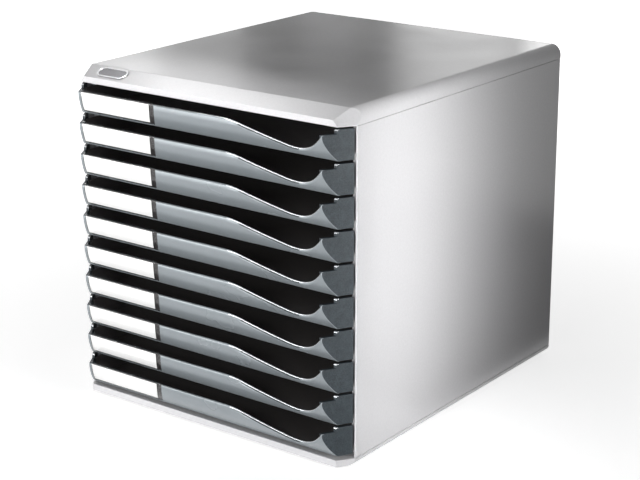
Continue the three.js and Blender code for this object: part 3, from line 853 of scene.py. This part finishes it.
def makeTray():
    sizes = traySizes
    zero = (drawerHeights[0] - seamZ) / mm
    half, wall, rear = sizes["halfWidth"], sizes["wall"], sizes["rear"]
    floorTop = sizes["lift"] + sizes["floor"]
    tray = addBlock("drawerTray", (-half, sizes["front"], zero + sizes["lift"]), (half, rear, zero + floorTop))
    for x in (wall - half, half - wall):
        cutThrough(tray, place(x, 0, 0), (1, 0, 0))
    for y in (rear - sizes["holdDown"], rear - wall):
        cutThrough(tray, place(0, y, 0), (0, 1, 0))
    wallX, wallY, lugY = (half - wall) * mm, place(0, rear - wall, 0).y, place(0, rear - sizes["holdDown"], 0).y
    pickFaces(tray, lambda centre, normal: normal.z > facing and (abs(centre.x) > wallX or centre.y > wallY))
    extrudeBy(0, 0, sizes["wallHeight"] - floorTop)
    pickFaces(tray, lambda centre, normal: normal.z > facing and abs(centre.x) > wallX and centre.y > lugY)
    extrudeBy(0, 0, sizes["holdDownHeight"] - sizes["wallHeight"])
    stopEnds = (sizes["stopFront"], sizes["stopFront"] + sizes["stopLength"])
    stopHeights = (zero + sizes["stopLift"], zero + sizes["stopLift"] + sizes["stopHeight"])
    for y in stopEnds:
        cutThrough(tray, place(0, y, 0), (0, 1, 0))
    for z in stopHeights:
        cutThrough(tray, place(0, 0, z), (0, 0, 1))
    stopLow, stopHigh = (place(0, y, z) for y, z in zip(stopEnds, stopHeights))
    for hand in (-1, 1):
        pickFaces(tray, lambda centre, normal: normal.x * hand > facing and centre.x * hand > wallX
                  and stopLow.y < centre.y < stopHigh.y and stopLow.z < centre.z < stopHigh.z)
        extrudeBy(hand * sizes["stopReach"], 0, 0)
    dissolveFlat(tray)
    soften(tray, sizes["edge"], segments=2, angle=40)
    return tray


def makeLabelCard():
    sizes = labelSizes
    inner = sizes["seat"] - sizes["gap"]
    top, foot = barSizes["height"] - sizes["cardTopGap"], sizes["cardFoot"]
    outline = faceLine(top, foot, inner) + faceLine(foot, top, inner - sizes["cardThick"])
    card = addStrip("labelCard", outline)
    trimToLabel(card, labelInset, sizes["cardLength"])
    soften(card, 0, smoothAngle=35)
    return card


# Clear strip: a hook over the bar's edge, a window that follows its face, and a toe under the card
def makeLabelCover():
    sizes = labelSizes
    top, foot = barSizes["height"], sizes["coverFoot"]
    inner = sizes["seat"] - sizes["cardThick"] - 2 * sizes["gap"]
    outer = inner - sizes["cover"]
    hookInside = barFace(top) + barSizes["wall"] + sizes["gap"]
    hookOutside, hookFoot = hookInside + sizes["cover"], top - sizes["hookDrop"]
    roof = top + sizes["gap"]
    roofTop, roofRound = roof + sizes["cover"], sizes["roofRound"]
    roofFront, shoulder = barFace(top) + outer, top - sizes["shoulder"]
    toeFront, toeRound, toeTop = barFace(foot) + outer, sizes["toeRound"], foot + sizes["cover"] / 2
    outline = [(hookInside + sizes["hookSpread"], hookFoot), (hookOutside + sizes["hookSpread"], hookFoot)]
    outline += bend((hookOutside + sizes["hookLean"], roofTop - sizes["hookRound"]), (hookOutside, roofTop),
                    (hookOutside - roofRound, roofTop), steps=4)
    outline += bend((roofFront + roofRound, roofTop), (roofFront, roofTop),
                    (barFace(shoulder) + outer, shoulder), steps=5)
    outline += faceLine(top - sizes["windowTop"], foot + sizes["windowFoot"], outer)
    outline += bend((barFace(foot + toeRound) + outer, foot + toeRound), (toeFront, foot),
                    (toeFront + toeRound, foot), steps=4)
    back = sizes["seat"] - sizes["gap"]
    outline += [(barFace(foot) + back, foot), (barFace(toeTop) + back, toeTop)]
    outline += faceLine(toeTop, roof, inner)
    outline += [(hookInside, roof)]
    cover = addStrip("labelCover", outline)
    trimToLabel(cover, labelInset, sizes["cardLength"] + sizes["coverEnd"])
    soften(cover, 0, smoothAngle=32)
    return cover


def makeDrawers():
    bar, tray, card, cover = makeBar(), makeTray(), makeLabelCard(), makeLabelCover()
    cheeks = {"left": makeCheek(-1), "right": makeCheek(1)}
    for number, height in zip(drawerNumbers, drawerHeights):
        body, rise = f"drawer_{number}", height - drawerHeights[0]
        slate, node = "drawer_slate", f"drawer_tray_{number}"
        finishPiece(copyRaised(bar, f"drawer{number}Bar", rise), body, [node])
        finishPiece(copyRaised(tray, f"drawer{number}Tray", rise), body, [node], trayPaintedShade)
        for side, cheek in cheeks.items():
            finishPiece(copyRaised(cheek, f"drawer{number}Cheek_{side}", rise), body, [node])
        finishPiece(copyRaised(card, f"drawer{number}Card", rise), body, [f"label_card_{number}"],
                    cardWhite)
        finishPiece(copyRaised(cover, f"drawer{number}Cover", rise), body, [f"label_cover_{number}"],
                    coverClear)
    for piece in (bar, tray, card, cover, *cheeks.values()):
        bpy.data.objects.remove(piece)


makeDrawers()
print("drawers made")


# Studio

cameraSizes = {
    "place": (0.8651, -1.15885, 0.5903), "yaw": 36.73, "pitch": 16.29, "lens": 96.19, "sensor": 36,
    "rise": 45 / 640, "clip": (0.01, 50),
}


def makeCamera():
    data = bpy.data.cameras.new("camera")
    data.sensor_width = cameraSizes["sensor"]
    data.lens = cameraSizes["lens"]
    data.shift_y = -cameraSizes["rise"]
    data.clip_start, data.clip_end = cameraSizes["clip"]
    camera = bpy.data.objects.new("camera", data)
    bpy.context.scene.collection.objects.link(camera)
    camera.location = cameraSizes["place"]
    camera.rotation_euler = (math.radians(90 - cameraSizes["pitch"]), 0, math.radians(cameraSizes["yaw"]))
    bpy.context.scene.camera = camera


# One for rays of the camera, of gloss and of clear plastic, and nothing for all others
def addSeenMask(tree):
    path = tree.nodes.new("ShaderNodeLightPath").outputs
    seen = addMath(tree, "MAXIMUM", path["Is Camera Ray"], path["Is Glossy Ray"])
    return addMath(tree, "MAXIMUM", seen, path["Is Transmission Ray"])


floorSizes = {"side": 12.0, "shadowNear": 0.25, "shadowFar": 0.8, "nearGlow": 0.68, "farGlow": 1.0}


# A pale floor that looks white where light falls on it and keeps the shadow round the cabinet
def makeFloorMaterial():
    material, tree, surface = startMaterial("paleFloor")
    setInputs(surface, Base_Color=(0.8, 0.8, 0.8, 1), Roughness=0.9, Specular_IOR_Level=0.2)
    coordinates = tree.nodes.new("ShaderNodeTexCoord")
    distance = tree.nodes.new("ShaderNodeVectorMath")
    distance.operation = "LENGTH"
    fade = addNode(tree, "ShaderNodeMapRange",
                   From_Min=floorSizes["shadowNear"], From_Max=floorSizes["shadowFar"],
                   To_Min=floorSizes["nearGlow"], To_Max=floorSizes["farGlow"])
    glow = tree.nodes.new("ShaderNodeEmission")
    both = tree.nodes.new("ShaderNodeAddShader")
    strength = addMath(tree, "MULTIPLY", fade.outputs["Result"], addSeenMask(tree))
    tree.links.new(coordinates.outputs["Object"], distance.inputs[0])
    tree.links.new(distance.outputs["Value"], fade.inputs["Value"])
    tree.links.new(strength, glow.inputs["Strength"])
    tree.links.new(surface.outputs["BSDF"], both.inputs[0])
    tree.links.new(glow.outputs["Emission"], both.inputs[1])
    tree.links.new(both.outputs["Shader"], tree.nodes["Material Output"].inputs["Surface"])
    return material


def makeFloor():
    deselectAll()
    bpy.ops.mesh.primitive_plane_add(size=floorSizes["side"], location=(0, 0, 0))
    floor = justAdded("floor")
    floor.data.materials.append(makeFloorMaterial())


# A sheet of black felt out of the camera's sight, which throws no shadow
def addFelt(name, location, size, rotation=(0, 0, 0), felt="blackFelt"):
    deselectAll()
    bpy.ops.mesh.primitive_plane_add(size=1, location=location, rotation=rotation)
    sheet = justAdded(name)
    sheet.scale = (*size, 1)
    freeze(sheet)
    material, _, surface = startMaterial(felt)
    setInputs(surface, Base_Color=(0.01, 0.01, 0.01, 1), Roughness=1.0, Specular_IOR_Level=0.0)
    sheet.data.materials.append(material)
    sheet.visible_camera = False
    sheet.visible_shadow = False
    return sheet


# A place behind the cabinet, turned from straight back towards the left by so many degrees
def fromBehind(turn, distance, height):
    angle = math.radians(turn)
    return Vector((-math.sin(angle) * distance, math.cos(angle) * distance, height))


darkCardSizes = {"turn": 36.3, "distance": 1.75, "height": 0.85, "size": (0.32, 0.58)}


# A dark card, upright behind the cabinet, whose reflection is the dark band across the glossy top
def makeDarkCard():
    sizes = darkCardSizes
    spot = fromBehind(sizes["turn"], sizes["distance"], sizes["height"])
    upright = (math.radians(90), 0, math.radians(sizes["turn"]))
    card = addFelt("darkCard", spot, sizes["size"], rotation=upright)
    card.visible_diffuse = False


clothSizes = {"place": (0.46, 0.27, 0.002), "size": (0.60, 0.58)}


# A black cloth on the floor beside the cabinet: only what looks down on it sees it
def makeFloorCloth():
    cloth = addFelt("floorCloth", clothSizes["place"], clothSizes["size"], felt="oneSidedFelt")
    tree = cloth.active_material.node_tree
    felt = tree.nodes["Principled BSDF"]
    back = tree.nodes.new("ShaderNodeNewGeometry").outputs["Backfacing"]
    seeThrough = tree.nodes.new("ShaderNodeBsdfTransparent")
    oneSided = mixShaders(tree, back, felt.outputs["BSDF"], seeThrough.outputs["BSDF"])
    tree.links.new(oneSided, tree.nodes["Material Output"].inputs["Surface"])


worldSizes = {"fill": 0.10, "seen": 1.0}


def makeWorld():
    world = bpy.data.worlds.new("studio")
    bpy.context.scene.world = world
    world.use_nodes = True
    tree = world.node_tree
    fill = tree.nodes["Background"]
    setInputs(fill, Color=(1, 1, 1, 1), Strength=worldSizes["fill"])
    white = addNode(tree, "ShaderNodeBackground", Color=(1, 1, 1, 1), Strength=worldSizes["seen"])
    both = mixShaders(tree, addSeenMask(tree), fill.outputs["Background"], white.outputs["Background"])
    tree.links.new(both, tree.nodes["World Output"].inputs["Surface"])


onFront, onSide, onTop = (0, -0.14, 0.15), (0.1425, -0.08, 0.18), (0, 0, 0.29)
# Each lamp's place, what it is aimed at, its width and height in metres, its power and, if narrow, its spread
lamps = {
    "frontMiddle": ((0.0, -1.3, 0.12), onFront, (0.9, 0.2), 4.5),
    "frontLeft": ((-0.6, -1.1, 0.12), onFront, (0.6, 0.2), 3.9),
    "frontBase": ((0.05, -0.75, 0.06), (0.02, -0.16, 0.01), (0.5, 0.06), 0.03, 30),
    "frontHigh": ((-0.1, -1.1, 0.5), (0, -0.14, 0.22), (0.6, 0.2), 2.1),
    "frontLow": ((-0.20, -0.60, 0.012), (-0.20, -0.60, 1.0), (0.6, 0.32), 1.5),
    "sideStrip": ((0.45, -0.165, 0.22), onSide, (0.10, 0.36), 0.24, 60),
    "sideFill": ((1.2, -0.5, 0.4), (0.14, 0, 0.15), (0.6, 0.6), 0.95),
    "topLeft": ((-0.75, 0.05, 1.35), (0.01, -0.158, 0.285), (0.02, 0.20), 0.042, 8),
    "backLeft": (fromBehind(56, 1.5, 0.35), onTop, (0.45, 0.6), 1.2),
    "backMiddle": (fromBehind(36, 1.5, 0.20), onTop, (0.10, 0.3), 0.95),
    "backRight": (fromBehind(28, 1.5, 0.35), onTop, (0.20, 0.6), 0.35),
    "backFarRight": (fromBehind(18, 1.6, 0.35), onTop, (0.3, 0.6), 1.85),
}


def addLamp(name, spot, target, size, power, spread=180):
    data = bpy.data.lights.new(name, "AREA")
    data.shape = "RECTANGLE"
    data.size, data.size_y = size
    data.energy = power
    data.spread = math.radians(spread)
    lamp = bpy.data.objects.new(name, data)
    bpy.context.scene.collection.objects.link(lamp)
    lamp.location = spot
    lamp.rotation_euler = (Vector(target) - Vector(spot)).to_track_quat("-Z", "Y").to_euler()
    lamp.visible_camera = False


makeCamera()
makeFloor()
makeDarkCard()
makeFloorCloth()
makeWorld()
for name, settings in lamps.items():
    addLamp(name, *settings)
bpy.context.scene.view_settings.view_transform = "Standard"
print("studio made")
